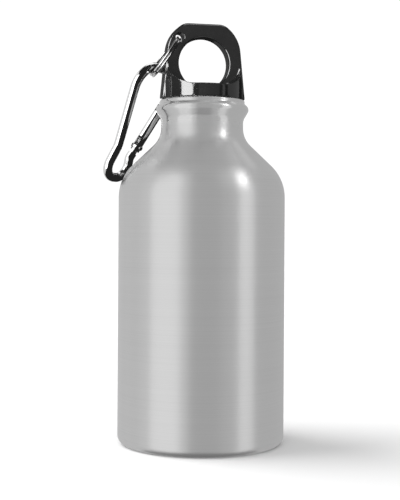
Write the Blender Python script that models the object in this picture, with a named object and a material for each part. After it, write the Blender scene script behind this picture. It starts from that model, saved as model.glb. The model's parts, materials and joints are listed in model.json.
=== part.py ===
"""Aluminium drinking bottle with a screw-in loop cap, a split ring and a small snap carabiner.

Metres, +Z up. The origin is the middle of the base, on the surface that the bottle stands on.
"""

from math import acos, atan2, ceil, cos, hypot, pi, radians, sin, sqrt, tan

import bmesh
import bpy
from mathutils import Matrix, Vector

# ---------------------------------------------------------------- driving dimensions
GAP = 0.0003  # clearance between pieces that touch

# Bottle shell
body_radius = 0.0340
shell_wall = 0.0009
base_fillet = 0.0034
base_recess = 0.0008  # the base is dished, so the bottle stands on a ring
foot_width = 0.0040
shoulder_start = 0.10025  # height where the straight wall ends
shoulder_slope = radians(46.2)
shoulder_radius = 0.0180
neck_fillet = 0.0100
neck_radius = 0.0168
bead_radius = 0.01945  # corner of the bead before it is rounded
bead_rise = 0.0052  # from the top of the neck to the crown of the bead
neck_length = 0.0030  # plain neck between its fillet and the bead
lip_radius = 0.01735
lip_height = 0.0015
bead_round = 0.0018
bead_depth = 0.0014  # from the bead's corner to the groove behind it

# Thread, right handed
thread_lead = 0.0050
thread_radius = 0.0126  # half way between the two crests
thread_overlap = 0.0008  # how far one ridge stands behind the other
ridge_root = 0.0018
ridge_crest = 0.0009
thread_turns = 1.6
thread_top_land = 0.0014  # plain bore above the female ridge
plug_thread_from = 0.3  # the male ridge runs between these turns of the female one
plug_thread_to = 1.8

# Insert that carries the female thread
insert_wall = 0.0022
insert_depth = 0.0165
insert_drop = 0.0010  # its upper end stands below the lip
insert_lead_in = 0.0008
small_chamfer = 0.0004

# Cap
plug_length = 0.0140
plug_wall = 0.0022
gasket_thickness = 0.0020
gasket_width = 0.0028
skirt_radius = 0.0163
skirt_height = 0.0053
skirt_ceiling = 0.0006  # the plug's hollow goes this far above the gasket's seat
plate_thickness = 0.0066
plate_foot_half = 0.0174
plate_lean = radians(5.6)
plate_height = 0.0309
plate_corner = 0.0140
plate_flat_half = 0.0080
plate_edge = 0.0007
plate_lift = 0.0002  # the plate stops this far above the skirt's lower face
scoop_half = 0.0155
scoop_corner = 0.0090
scoop_fillet = 0.0018
finger_hole_radius = 0.01045
finger_hole_top_wall = 0.0058
rim_round = 0.0009
cap_yaw = radians(13.0)

# Split ring, which is wider where the plate or the rod that it holds is thicker
rod_radius = 0.0019  # of the carabiner
ring_radius = 0.0093 + 2 * (plate_thickness - 0.0066) + 2 * (rod_radius - 0.0019)
ring_wire = 0.0010
ring_coil_gap = 0.0001
ring_hole_radius = 0.0018 + 0.35 * (plate_thickness - 0.0066)
ring_hole_rim = 0.0003
ring_hole_x = 0.0101
ring_hole_drop = 0.0060  # below the top of the plate
ring_lean = radians(35.3)  # how far the ring hangs out from straight down
ring_twist = radians(10.7)  # turn of the ring's plane from the bottle's front to back line
ring_rise = radians(3.3)  # its far side sits a little high

# Carabiner, in its own plane: across towards the gate, and up from where it hangs
gate_radius = 0.0020
hook_lean = radians(19.6)
hook_tilt = radians(10.8)
hook_turn = radians(59.1)
hang_angle = radians(28.4)  # how far round the ring the carabiner lies, towards the back
hang_clearance = 0.0008 + (rod_radius - 0.0019)  # between the rod and the wire that it hangs on
nose_corner = (0.0188, 0.0001)
nose_bend = 0.0107
spine_corner = (-0.01075, 0.0001)
spine_bend = 0.0096
kink = (-0.0078, -0.0350)
kink_bend = 0.0040
heel_corner = (-0.0114, -0.0486)
toe_corner = (0.0046, -0.0486)
heel_bend = 0.0055
tail_corner = (0.0023, -0.0394)
tail_bend = 0.0030
pivot = (0.0048, -0.0343)
gate_length = 0.0208  # from the pivot to the tip of the gate
tongue_thickness = 0.0013
tongue_half = 0.0015
pin_radius = 0.0006
pin_head_radius = 0.00105
pin_head_height = 0.0006
latch_pin_radius = 0.00045
catch_back = 0.0014  # from the gate's tip to the middle of its cross pin
gate_slot = 0.0036  # length of the slot in the gate's tip
gate_window = 0.0046  # length of the slot on the inner side, over the spring's plunger
spring_bore = 0.0010
spring_stop = 0.0062  # from the gate's tip to the end of the spring's bore
plunger_head = 0.0014
plunger_stem = 0.0008
stem_radius = 0.0004
spring_wire = 0.00015
spring_turns = 9

ROUND = 44  # sides of a turned piece


# ---------------------------------------------------------------- helpers
def clear_scene():
    for obj in list(bpy.data.objects):
        bpy.data.objects.remove(obj, do_unlink=True)


def material(name, colour, metallic, roughness):
    made = bpy.data.materials.new(name)
    made.use_nodes = True
    shader = made.node_tree.nodes["Principled BSDF"]
    shader.inputs["Base Color"].default_value = (*colour, 1.0)
    shader.inputs["Metallic"].default_value = metallic
    shader.inputs["Roughness"].default_value = roughness
    return made


def bend(before, corner, after, radius):
    """Where a bend at a corner starts, its centre, and the angle that it turns through."""
    here = Vector(corner)
    back = (Vector(before) - here).normalized()
    ahead = (Vector(after) - here).normalized()
    half = acos(max(-1.0, min(1.0, back.dot(ahead)))) / 2
    start = here + back * (radius / tan(half))
    centre = here + (back + ahead).normalized() * (radius / sin(half))
    turn = pi - 2 * half
    return start, centre, turn if back.cross(ahead) < 0 else -turn


def rounded(corners, sag=0.00010):
    """Points along straight runs between corners, each given as (x, y, radius of its bend).

    A bend has as many points as keep its chords within the sag of the true arc.
    """
    points = []
    for i, (x, y, radius) in enumerate(corners):
        if radius == 0:
            points.append(Vector((x, y)))
            continue
        start, centre, turn = bend(corners[i - 1][:2], (x, y), corners[i + 1][:2], radius)
        spoke = start - centre
        steps = max(1, ceil(abs(turn) / (2 * acos(max(0.0, 1 - sag / radius)))))
        for k in range(steps + 1):
            a = turn * k / steps
            across = (spoke.x * cos(a) - spoke.y * sin(a), spoke.x * sin(a) + spoke.y * cos(a))
            points.append(centre + Vector(across))
    return points


def new_object(name, bm, finish=None, smooth=True):
    bmesh.ops.recalc_face_normals(bm, faces=bm.faces)
    mesh = bpy.data.meshes.new(name)
    bm.to_mesh(mesh)
    bm.free()
    if smooth:
        mesh.shade_smooth()
        mesh.set_sharp_from_angle(angle=radians(35.0))
    obj = bpy.data.objects.new(name, mesh)
    bpy.context.scene.collection.objects.link(obj)
    if finish:
        mesh.materials.append(finish)
    return obj


def turned(name, profile, finish=None, sides=ROUND):
    """A closed profile of (radius, height) points turned about Z."""
    bm = bmesh.new()
    rings = []
    for radius, height in profile:
        if radius < 1e-7:
            rings.append([bm.verts.new((0.0, 0.0, height))])
            continue
        angles = [2 * pi * k / sides for k in range(sides)]
        rings.append([bm.verts.new((radius * cos(a), radius * sin(a), height)) for a in angles])
    for lower, upper in zip(rings, rings[1:] + rings[:1]):
        for k in range(sides):
            face = [
                lower[k % len(lower)],
                lower[(k + 1) % len(lower)],
                upper[(k + 1) % len(upper)],
                upper[k % len(upper)],
            ]
            face = list(dict.fromkeys(face))
            if len(face) > 2:
                bm.faces.new(face)
    return new_object(name, bm, finish)


def prism(name, outline, depth_from, depth_to, finish=None, bevel=0.0, bevel_ends=(True, True)):
    """An outline in X and Z, pushed along Y. Its end edges can be rounded."""
    bm = bmesh.new()
    near = [bm.verts.new((p[0], depth_from, p[1])) for p in outline]
    face = bm.faces.new(near)
    pushed = bmesh.ops.extrude_face_region(bm, geom=[face])["geom"]
    moved = [v for v in pushed if isinstance(v, bmesh.types.BMVert)]
    bmesh.ops.translate(bm, verts=moved, vec=(0.0, depth_to - depth_from, 0.0))
    bmesh.ops.recalc_face_normals(bm, faces=bm.faces)
    if bevel:
        levels = [y for y, wanted in zip((depth_from, depth_to), bevel_ends) if wanted]
        edges = [
            e
            for e in bm.edges
            if any(all(abs(v.co.y - y) < 1e-7 for v in e.verts) for y in levels)
        ]
        bmesh.ops.bevel(
            bm, geom=edges, offset=bevel, segments=3, profile=0.5, affect="EDGES", clamp_overlap=True
        )
    return new_object(name, bm, finish)


def cylinder(name, radius, start, end, finish=None, sides=24):
    """A rod between two points."""
    start, end = Vector(start), Vector(end)
    bm = bmesh.new()
    bmesh.ops.create_cone(
        bm, cap_ends=True, segments=sides, radius1=radius, radius2=radius, depth=(end - start).length
    )
    obj = new_object(name, bm, finish)
    turn = Vector((0, 0, 1)).rotation_difference(end - start).to_matrix().to_4x4()
    obj.data.transform(Matrix.Translation((start + end) / 2) @ turn)
    return obj


def block(name, low, high):
    bm = bmesh.new()
    bmesh.ops.create_cube(bm, size=1.0)
    size = Vector(high) - Vector(low)
    bmesh.ops.scale(bm, verts=bm.verts, vec=size)
    bmesh.ops.translate(bm, verts=bm.verts, vec=(Vector(high) + Vector(low)) / 2)
    return new_object(name, bm, smooth=False)


def wire(name, points, radius, finish=None, sides=12, closed=False):
    """A round rod along a list of points, as a curve with a bevel turned into a mesh."""
    curve = bpy.data.curves.new(name, "CURVE")
    curve.dimensions = "3D"
    curve.bevel_depth = radius
    curve.bevel_resolution = sides // 2 - 2
    curve.use_fill_caps = True
    spline = curve.splines.new("POLY")
    spline.points.add(len(points) - 1)
    for point, place in zip(spline.points, points):
        point.co = (*place, 1.0)
    spline.use_cyclic_u = closed
    carrier = bpy.data.objects.new(name, curve)
    bpy.context.scene.collection.objects.link(carrier)
    graph = bpy.context.evaluated_depsgraph_get()
    mesh = bpy.data.meshes.new_from_object(carrier.evaluated_get(graph))
    bpy.data.objects.remove(carrier, do_unlink=True)
    bm = bmesh.new()
    bm.from_mesh(mesh)
    bpy.data.meshes.remove(mesh)
    bmesh.ops.remove_doubles(bm, verts=bm.verts, dist=1e-6)
    return new_object(name, bm, finish)


def combine(target, other, operation):
    """A Boolean that is applied at once. The other object is used up."""
    modifier = target.modifiers.new(operation.title(), "BOOLEAN")
    modifier.operation = operation
    modifier.solver = "EXACT"
    modifier.object = other
    graph = bpy.context.evaluated_depsgraph_get()
    result = bpy.data.meshes.new_from_object(target.evaluated_get(graph))
    target.modifiers.remove(modifier)
    old = target.data
    target.data = result
    bpy.data.meshes.remove(old)
    bpy.data.objects.remove(other, do_unlink=True)
    target.data.shade_smooth()
    target.data.set_sharp_from_angle(angle=radians(35.0))


def move(obj, matrix):
    obj.data.transform(matrix)


def on_axis(obj, name, matrix):
    """Puts the piece under an empty that stands on its joint's axis, its mesh left in the empty's frame."""
    holder = bpy.data.objects.get(name)
    if holder is None:
        holder = bpy.data.objects.new(name, None)
        holder.empty_display_size = 0.01
        holder.matrix_world = matrix
        bpy.context.scene.collection.objects.link(holder)
    obj.parent = holder


# ---------------------------------------------------------------- places worked out from the sizes
def ridge_half(radius, foot, tip):
    """Half the height of a thread ridge at a radius between its foot and its tip."""
    return (ridge_root + (ridge_crest - ridge_root) * (radius - foot) / (tip - foot)) / 2


half_slope = tan(shoulder_slope / 2)
shoulder_corner_z = shoulder_start + shoulder_radius * half_slope
neck_corner_z = shoulder_corner_z + (body_radius - neck_radius) / tan(shoulder_slope)
neck_top = neck_corner_z + neck_fillet * half_slope + neck_length
bead_z = neck_top + bead_rise - 0.0003
lip_foot = bead_z + 0.0019
lip_top = lip_foot + lip_height

neck_bore = neck_radius - shell_wall
cap_bottom = lip_top + GAP
insert_top = lip_top - insert_drop
insert_outer = neck_bore - GAP
insert_bore = thread_radius + thread_overlap
plug_radius = thread_radius - thread_overlap
ridge_tip_in = thread_radius - thread_overlap / 2  # crest of the female ridge
ridge_tip_out = thread_radius + thread_overlap / 2  # crest of the male ridge
female_foot = insert_bore + insert_wall / 4  # both ridges are buried a little in their walls
male_foot = plug_radius - plug_wall / 4
gasket_bottom = insert_top + GAP
gasket_top = gasket_bottom + gasket_thickness
gasket_inner = plug_radius + GAP
gasket_outer = gasket_inner + gasket_width
ledge_z = cap_bottom + skirt_height
plate_top = cap_bottom + plate_height
plug_bottom = cap_bottom - plug_length
finger_hole_z = plate_top - finger_hole_top_wall - finger_hole_radius

# The ridges climb together. Tightening leaves the cap's ridge just under the insert's.
thread_zero = insert_top - thread_top_land - ridge_root / 2 - thread_lead * thread_turns
flank_to_flank = max(
    ridge_half(radius, female_foot, ridge_tip_in) + ridge_half(radius, male_foot, ridge_tip_out)
    for radius in (ridge_tip_in, ridge_tip_out)
)
plug_thread_zero = thread_zero + thread_lead * cap_yaw / (2 * pi) - flank_to_flank - GAP

cap_turn = Matrix.Rotation(cap_yaw, 4, "Z")
ring_hole = cap_turn @ Vector((-ring_hole_x, 0.0, plate_top - ring_hole_drop))


def ring_frame():
    """The middle of the split ring, its direction from the hole, and the way round it at its far side."""
    out = Vector((-sin(ring_lean), 0.0, -cos(ring_lean)))
    along = Vector((-sin(ring_twist), cos(ring_twist), sin(ring_rise)))
    along = (along - along.dot(out) * out).normalized()
    return ring_hole + out * ring_radius, out, along


ring_centre, ring_out, ring_along = ring_frame()
hang_spoke = ring_out * cos(hang_angle) + ring_along * sin(hang_angle)
hang_point = ring_centre + hang_spoke * (ring_radius - ring_wire / 2 - hang_clearance - rod_radius)


def hook_matrix():
    """The carabiner's plane in the world: X across to the gate, Y up, Z its normal, from where it hangs."""
    up = Vector((sin(hook_lean) * cos(hook_tilt), -sin(hook_tilt), cos(hook_lean) * cos(hook_tilt)))
    level = Vector((cos(hook_lean), 0.0, -sin(hook_lean)))
    across = cos(hook_turn) * level + Vector((0.0, sin(hook_turn), 0.0))
    across = (across - across.dot(up) * up).normalized()
    normal = across.cross(up)
    turn = Matrix((across, up, normal)).transposed().to_4x4()
    return Matrix.Translation(hang_point) @ turn


hook = hook_matrix()
# The carabiner swings about the middle of the bend that hangs on the ring.
swing_centre = bend(nose_corner, spine_corner, kink, spine_bend)[1]
to_swing = Matrix.Translation((*swing_centre, 0.0))
gate_run = Vector(nose_corner) - Vector(pivot)
gate_angle = atan2(gate_run.x, gate_run.y)
# The gate's own frame: X across it, outwards, Y along it from the pivot, Z along the pin.
gate = hook @ Matrix.Translation((*pivot, 0.0)) @ Matrix.Rotation(-gate_angle, 4, "Z")


# ---------------------------------------------------------------- bottle
def bottle_profile():
    wall = shell_wall
    slope_shift = wall * half_slope
    foot_out = body_radius - base_fillet
    outside = rounded(
        [
            (0.0, base_recess, 0.0),
            (foot_out - foot_width, base_recess, 0.0010),
            (foot_out - foot_width + 0.0012, 0.0, 0.0008),
            (body_radius, 0.0, base_fillet - 0.0001),
            (body_radius, shoulder_corner_z, shoulder_radius),
            (neck_radius, neck_corner_z, neck_fillet),
            (neck_radius, neck_top - 0.0001, 0.0003),
            (neck_radius + 0.0007, neck_top + 0.0002, 0.0003),
            (bead_radius, bead_z, bead_round),
            (lip_radius, lip_foot, 0.0003),
            (lip_radius, lip_top, 0.0006),
            (neck_bore, lip_top, 0.0),
        ]
    )
    inside = rounded(
        [
            (neck_bore, lip_top, 0.0),
            (neck_bore, lip_foot + 0.0003, 0.0003),
            (bead_radius - bead_depth, bead_z + 0.0001, 0.0009),
            (neck_bore, neck_top + 0.0003, 0.0003),
            (neck_bore, neck_corner_z - slope_shift, neck_fillet + wall),
            (body_radius - wall, shoulder_corner_z - slope_shift, shoulder_radius - wall),
            (body_radius - wall, base_recess + wall, base_fillet - wall),
            (0.0, base_recess + wall, 0.0),
        ]
    )
    return outside + inside[1:]


def make_bottle(finish):
    return turned("bottle_body", bottle_profile(), finish)


def helix_ridge(name, root, tip, zero_z, first, last, sides=36):
    """A ridge wound about Z from one turn count to another, with run-outs at its ends.

    Root and tip are radii, the root is buried in the wall behind it, and zero_z is the height at turn 0.
    """
    bm = bmesh.new()
    steps = round((last - first) * sides)
    rings = []
    for k in range(steps + 1):
        turn = first + k / sides
        angle = 2 * pi * turn
        fade = min(1.0, 6.0 * k / sides, 6.0 * (steps - k) / sides)
        crest = root + (tip - root) * (0.35 + 0.65 * fade)
        height = zero_z + thread_lead * turn
        corners = (
            (root, -ridge_root / 2),
            (crest, -ridge_crest / 2),
            (crest, ridge_crest / 2),
            (root, ridge_root / 2),
        )
        rings.append(
            [bm.verts.new((r * cos(angle), r * sin(angle), height + z)) for r, z in corners]
        )
    for first, second in zip(rings, rings[1:]):
        for k in range(4):
            bm.faces.new((first[k], first[(k + 1) % 4], second[(k + 1) % 4], second[k]))
    bm.faces.new(rings[0])
    bm.faces.new(rings[-1])
    return new_object(name, bm)


def make_insert(finish):
    """The threaded ring. The bead is rolled over its rib, which holds it in the neck."""
    bottom = insert_top - insert_depth
    rib = bead_radius - bead_depth - GAP - small_chamfer
    outline = [
        (insert_bore + insert_lead_in, bottom),
        (insert_outer - small_chamfer, bottom),
        (insert_outer, bottom + small_chamfer),
        (insert_outer, neck_top + 0.0011),
        (rib, bead_z - 0.0004),
        (rib, bead_z + 0.0003),
        (insert_outer, lip_foot - 0.0003),
        (insert_outer, insert_top),
        (insert_bore + small_chamfer, insert_top),
        (insert_bore, insert_top - small_chamfer),
        (insert_bore, bottom + insert_lead_in),
    ]
    insert = turned("neck_thread_insert", outline, finish)
    ridge = helix_ridge("ridge", female_foot, ridge_tip_in, thread_zero, 0.0, thread_turns)
    combine(insert, ridge, "UNION")
    return insert


# ---------------------------------------------------------------- cap
def plate_outline():
    """Half outlines mirrored: sides that lean in, big round corners, and a flat top that cuts them."""
    lean, radius = plate_lean, plate_corner
    # The corner's centre lies on a line inside the leaning side, one radius from the flat's end.
    foot = Vector((plate_foot_half - radius * cos(lean), cap_bottom - radius * sin(lean)))
    upwards = Vector((-sin(lean), cos(lean)))
    flat_end = Vector((plate_flat_half, plate_top))
    away = foot - flat_end
    along = away.dot(upwards)
    rise = -along - sqrt(along * along - away.length_squared + radius * radius)
    centre = foot + rise * upwards
    top_angle = atan2(flat_end.y - centre.y, flat_end.x - centre.x)
    side = [(plate_foot_half, cap_bottom + plate_lift)]
    steps = 12
    for k in range(steps + 1):
        a = lean + (top_angle - lean) * k / steps
        side.append((centre.x + radius * cos(a), centre.y + radius * sin(a)))
    mirrored = [(-x, z) for x, z in reversed(side)]
    return side + mirrored


def hole_cutter(name, radius, flare, length, centre_z, centre_x, sides):
    """A through cutter along Y whose ends flare, so that the rims come out round."""
    half = plate_thickness / 2
    profile = [(0.0, -length)]
    steps = 4
    for k in range(steps + 1):
        a = pi / 2 * k / steps
        profile.append((radius + flare - flare * sin(a), -half + flare - flare * cos(a)))
    outer = [(radius + flare, -length)]
    profile = [profile[0]] + outer + profile[1:]
    profile += [(r, -z) for r, z in reversed(profile)]
    cutter = turned(name, profile, sides=sides)
    move(cutter, Matrix.Translation((centre_x, 0.0, centre_z)) @ Matrix.Rotation(pi / 2, 4, "X"))
    return cutter


def scoop(name, side):
    """What is cut away in front of the plate, or behind it: a deep U with a filleted foot."""
    top = plate_top + 0.0100
    outline = rounded(
        [
            (scoop_half, top, 0.0),
            (scoop_half, ledge_z, scoop_corner),
            (-scoop_half, ledge_z, scoop_corner),
            (-scoop_half, top, 0.0),
        ],
    )
    near = plate_thickness / 2 - 0.0002  # just inside the plate, which then covers the cut
    far = near + 0.0300
    ends = (near, far) if side > 0 else (-near, -far)
    return prism(name, outline, ends[0], ends[1], bevel=scoop_fillet, bevel_ends=(True, False))


def make_cap(finish):
    skirt_top = ledge_z + scoop_corner + 0.0010
    recess_ceiling = gasket_top + GAP
    bore = plug_radius - plug_wall
    body = [
        (bore, plug_bottom),
        (plug_radius - small_chamfer, plug_bottom),
        (plug_radius, plug_bottom + small_chamfer),
        (plug_radius, recess_ceiling),
        (gasket_outer + GAP, recess_ceiling),
        (gasket_outer + GAP, cap_bottom),
        (skirt_radius, cap_bottom),
        (skirt_radius, ledge_z + 0.0015),
        (skirt_radius - 0.0012, skirt_top),
        (0.0, skirt_top),
        (0.0, recess_ceiling + skirt_ceiling),
        (bore, recess_ceiling + skirt_ceiling),
    ]
    cap = turned("cap", body, finish)
    ridge = helix_ridge(
        "ridge", male_foot, ridge_tip_out, plug_thread_zero, plug_thread_from, plug_thread_to
    )
    combine(cap, ridge, "UNION")
    for side in (1, -1):
        combine(cap, scoop("scoop", side), "DIFFERENCE")
    half = plate_thickness / 2
    plate = prism("plate", plate_outline(), -half, half, bevel=plate_edge)
    # The plate keeps clear of the gasket and the plug's hollow below the skirt.
    hollow = gasket_outer + GAP + 0.0002
    core = turned(
        "core",
        [
            (0.0, cap_bottom - 0.0010),
            (hollow, cap_bottom - 0.0010),
            (hollow, recess_ceiling + 0.0008),
            (0.0, recess_ceiling + 0.0008),
        ],
    )
    combine(plate, core, "DIFFERENCE")
    combine(cap, plate, "UNION")
    finger = hole_cutter(
        "finger", finger_hole_radius, rim_round, 0.0250, finger_hole_z, 0.0, ROUND
    )
    floor = block("floor", (-0.03, -0.03, cap_bottom - 0.01), (0.03, 0.03, ledge_z + 0.0001))
    combine(finger, floor, "DIFFERENCE")
    combine(cap, finger, "DIFFERENCE")
    small = hole_cutter(
        "small", ring_hole_radius, ring_hole_rim, 0.0250, ring_hole.z, -ring_hole_x, 20
    )
    combine(cap, small, "DIFFERENCE")
    move(cap, cap_turn)
    return cap


def make_gasket(finish):
    ring = [
        (gasket_inner, gasket_bottom),
        (gasket_outer, gasket_bottom),
        (gasket_outer, gasket_top),
        (gasket_inner, gasket_top),
    ]
    return turned("cap_gasket", ring, finish)


# ---------------------------------------------------------------- split ring
def ring_path():
    """Two turns of wire side by side. A short step carries the wire from one turn to the other."""
    shift = (ring_wire + ring_coil_gap) / 2
    normal = ring_out.cross(ring_along)
    step_half = radians(24.0)
    seam = radians(35.0)  # where the step and the two cut ends lie, from the far side
    start, end = step_half, 4 * pi - step_half
    count = 92
    points = []
    for k in range(count + 1):
        a = start + (end - start) * k / count
        across = max(-1.0, min(1.0, (a - 2 * pi) / (step_half * 0.8)))
        smooth = across * (1.5 - 0.5 * across * across)
        spoke = ring_out * cos(a + seam) + ring_along * sin(a + seam)
        points.append(ring_centre + spoke * ring_radius + normal * shift * smooth)
    return points


def make_split_ring(finish):
    return wire("split_ring", ring_path(), ring_wire / 2, finish, sides=8)


# ---------------------------------------------------------------- carabiner
def frame_path():
    tip = Vector(pivot) + Vector((sin(gate_angle), cos(gate_angle))) * (gate_length + GAP)
    tail = Vector(tail_corner) + (Vector(pivot) - Vector(tail_corner)).normalized() * 0.0023
    corners = [
        (tip.x, tip.y, 0.0),
        (*nose_corner, nose_bend),
        (*spine_corner, spine_bend),
        (*kink, kink_bend),
        (*heel_corner, heel_bend),
        (*toe_corner, heel_bend),
        (*tail_corner, tail_bend),
        (tail.x, tail.y, 0.0),
    ]
    return [Vector((p.x, p.y, 0.0)) for p in rounded(corners, sag=0.00004)]


def make_frame(finish):
    """The bent rod, with a flat tongue at the hinge and a notched one under the nose."""
    frame = wire("carabiner_frame", frame_path(), rod_radius, finish, sides=12)
    to_gate = Matrix.Translation((*pivot, 0.0)) @ Matrix.Rotation(-gate_angle, 4, "Z")
    thick = tongue_thickness / 2

    cheek = cylinder("cheek", tongue_half + 0.0002, (0, 0, -thick), (0, 0, thick), sides=24)
    flat = block("flat", (-0.01, tongue_half, -0.01), (0.01, 0.01, 0.01))
    combine(cheek, flat, "DIFFERENCE")
    move(cheek, Matrix.Translation((*pivot, 0.0)) @ Matrix.Rotation(-gate_angle, 4, "Z"))
    combine(frame, cheek, "UNION")
    run = Vector(tail_corner) - Vector(pivot)
    strap = block("strap", (-tongue_half, 0.0, -thick), (tongue_half, run.length - 0.0008, thick))
    move(strap, Matrix.Translation((*pivot, 0.0)) @ Matrix.Rotation(atan2(-run.x, run.y), 4, "Z"))
    combine(frame, strap, "UNION")
    hole = cylinder("hole", pin_radius + GAP, (*pivot, -0.01), (*pivot, 0.01), sides=16)
    combine(frame, hole, "DIFFERENCE")

    catch_y = gate_length - catch_back
    latch = block(
        "latch", (-tongue_half, catch_y - 0.0017, -thick), (tongue_half, gate_length + 0.0012, thick)
    )
    seat = latch_pin_radius + GAP
    notch = cylinder("notch", seat, (0, catch_y, -0.01), (0, catch_y, 0.01), sides=16)
    combine(latch, notch, "DIFFERENCE")
    way = block("way", (-0.01, catch_y - seat * 0.98, -0.01), (0.0, catch_y + seat * 0.98, 0.01))
    combine(latch, way, "DIFFERENCE")
    move(latch, to_gate)
    combine(frame, latch, "UNION")
    return frame


def make_gate(finish):
    """A round bar: forked round the tongue at the hinge, drilled for the spring, slotted at its tip."""
    gate_bar = cylinder(
        "carabiner_gate",
        gate_radius,
        (0, -gate_radius, 0),
        (0, gate_length - GAP, 0),
        finish,
        sides=24,
    )
    slot = tongue_thickness / 2 + GAP
    fork_top = tongue_half + 0.0009
    fork = block("fork", (-0.01, -0.01, -slot), (0.01, fork_top, slot))
    combine(gate_bar, fork, "DIFFERENCE")
    window = block("window", (-0.01, 0.0, -slot), (-gate_radius * 0.2, gate_window, slot))
    combine(gate_bar, window, "DIFFERENCE")
    bore = cylinder("bore", spring_bore, (0, 0, 0), (0, spring_end() + GAP, 0), sides=16)
    combine(gate_bar, bore, "DIFFERENCE")
    hole = cylinder("hole", pin_radius + GAP, (0, 0, -0.01), (0, 0, 0.01), sides=16)
    combine(gate_bar, hole, "DIFFERENCE")
    tip = block("tip", (-0.01, gate_length - gate_slot, -slot), (0.01, 0.05, slot))
    combine(gate_bar, tip, "DIFFERENCE")
    catch_y = gate_length - catch_back
    seat = latch_pin_radius + GAP / 3
    cross = cylinder("cross", seat, (0, catch_y, -0.01), (0, catch_y, 0.01), sides=16)
    combine(gate_bar, cross, "DIFFERENCE")
    return gate_bar


def spring_end():
    return gate_length - spring_stop


def plunger_top():
    return tongue_half + GAP + plunger_head + plunger_stem


def make_hinge_pin(finish):
    seat = gate_radius + GAP / 2
    head = pin_head_radius
    dome = seat + pin_head_height
    half = [
        (0.0, dome),
        (head * 0.55, dome - 0.00008),
        (head * 0.9, seat + pin_head_height * 0.5),
        (head, seat + 0.0001),
        (head, seat),
        (pin_radius, seat),
    ]
    outline = [(r, -z) for r, z in half] + [(r, z) for r, z in reversed(half)]
    return turned("gate_hinge_pin", outline, finish, sides=16)


def make_latch_pin(finish):
    catch_y = gate_length - catch_back
    reach = sqrt(gate_radius**2 - (latch_pin_radius + GAP) ** 2) - 0.0001
    return cylinder(
        "latch_pin", latch_pin_radius, (0, catch_y, -reach), (0, catch_y, reach), finish, sides=16
    )


def make_plunger(finish):
    low = tongue_half + GAP
    rod = spring_bore - GAP
    profile = [
        (0.0, low),
        (rod, low),
        (rod, low + plunger_head),
        (stem_radius, low + plunger_head),
        (stem_radius, plunger_top()),
        (0.0, plunger_top()),
    ]
    plunger = turned("gate_spring_plunger", profile, finish, sides=16)
    move(plunger, Matrix.Rotation(-pi / 2, 4, "X"))
    return plunger


def make_spring(finish):
    low = tongue_half + GAP + plunger_head + spring_wire + GAP
    high = spring_end() - spring_wire
    coil = spring_bore - spring_wire - 0.00015
    count = spring_turns * 10
    points = []
    for k in range(count + 1):
        a = 2 * pi * spring_turns * k / count
        points.append((coil * cos(a), low + (high - low) * k / count, coil * sin(a)))
    return wire("gate_spring", points, spring_wire, finish, sides=6)


# ---------------------------------------------------------------- build
def main():
    clear_scene()
    aluminium = material("brushed_aluminium", (0.60, 0.60, 0.61), 1.0, 0.36)
    insert_metal = material("turned_aluminium", (0.66, 0.66, 0.67), 1.0, 0.28)
    black = material("black_plastic", (0.018, 0.018, 0.020), 0.0, 0.16)
    rubber = material("clear_silicone", (0.80, 0.80, 0.78), 0.0, 0.45)
    ring_steel = material("nickel_plated_steel", (0.72, 0.72, 0.72), 1.0, 0.12)
    bright = material("polished_aluminium", (0.80, 0.80, 0.81), 1.0, 0.08)
    gate_metal = material("polished_gate", (0.78, 0.78, 0.79), 1.0, 0.09)
    rivet = material("rivet_steel", (0.55, 0.55, 0.56), 1.0, 0.22)
    latch_steel = material("latch_steel", (0.58, 0.58, 0.59), 1.0, 0.20)
    plunger_steel = material("plunger_steel", (0.50, 0.50, 0.51), 1.0, 0.30)
    spring_steel = material("spring_steel", (0.45, 0.45, 0.46), 1.0, 0.30)

    make_bottle(aluminium)
    make_insert(insert_metal)
    on_cap = Matrix.Translation((0.0, 0.0, cap_bottom))
    for piece in (make_gasket(rubber), make_cap(black)):
        move(piece, on_cap.inverted())
        on_axis(piece, "cap_axis", on_cap)

    at_hole = Matrix.Translation(ring_hole)
    ring = make_split_ring(ring_steel)
    move(ring, at_hole.inverted())
    on_axis(ring, "ring_axis", at_hole)

    frame = make_frame(bright)
    move(frame, to_swing.inverted())
    on_axis(frame, "carabiner_axis", hook @ to_swing)
    for piece in (
        make_gate(gate_metal),
        make_hinge_pin(rivet),
        make_latch_pin(latch_steel),
        make_plunger(plunger_steel),
        make_spring(spring_steel),
    ):
        on_axis(piece, "gate_axis", gate)


main()
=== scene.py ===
# %% [markdown]
# # An aluminium drinking bottle with a loop cap, a split ring and a snap carabiner
#
# The bottle is drawn from one disc of aluminium, so almost all of it is a body of revolution.
# The cap is moulded in black plastic, and the ring and the carabiner are bent from round wire.
# The fixed frame gives every size and place. These cells rebuild each piece round it with finer
# shapes, finishes and studio light.

import json
from math import acos, atan2, ceil, cos, pi, radians, sin, sqrt, tan

import bmesh
import bpy
from mathutils import Matrix, Vector


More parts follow.
